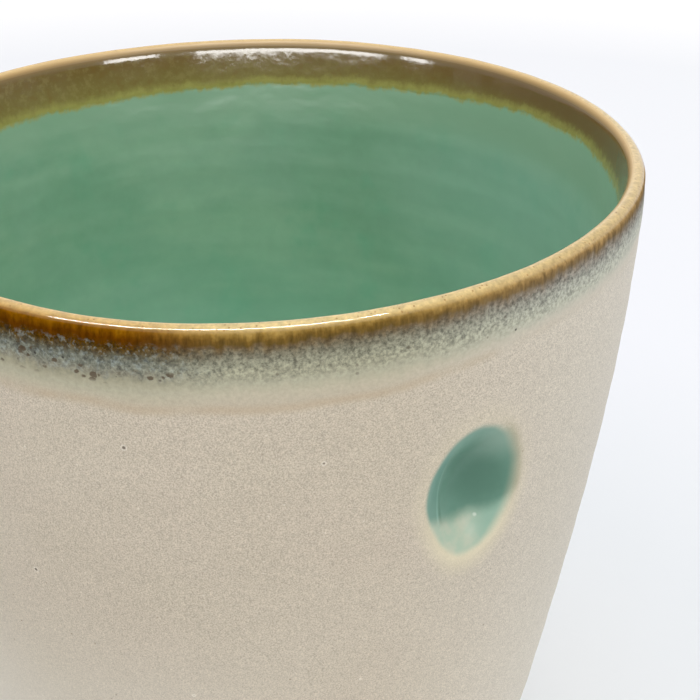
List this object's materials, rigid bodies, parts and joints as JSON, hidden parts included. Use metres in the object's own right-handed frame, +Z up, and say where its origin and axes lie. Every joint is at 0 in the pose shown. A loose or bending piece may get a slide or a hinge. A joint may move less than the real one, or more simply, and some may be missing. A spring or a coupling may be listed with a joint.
{
  "type": "handleless stoneware cup",
  "caption": "Tapered hand-thrown stoneware cup with a rounded glazed lip, a glazed inside, bare clay outside and a thumb dimple in the wall.",
  "frame": {"origin": "centre of the foot, on the plane that the cup stands on", "axes": "+Z up through the middle of the cup, -Y through the middle of the thumb dimple"},
  "size_m": [0.09, 0.0901, 0.093],
  "materials": {
    "bare_stoneware": "bare fired buff stoneware, satin-matte, fine dark specks and pinholes",
    "aqua_glaze": "glossy cloudy aqua-green glaze with soft horizontal streaks",
    "amber_glaze": "glossy amber glaze over dark brown, breaking to honey on the lip",
    "speckled_glaze": "thin blue-grey to cream-green glaze, mottled with dark brown specks",
    "pool_glaze": "glossy teal glaze pooled thick in the dimple"
  },
  "bodies": {
    "root": {"stoneware_body": "bare_stoneware", "liner_glaze": "aqua_glaze", "rim_glaze": "amber_glaze", "overlap_band_glaze": "speckled_glaze", "dimple_glaze": "pool_glaze"}
  },
  "joints": []
}
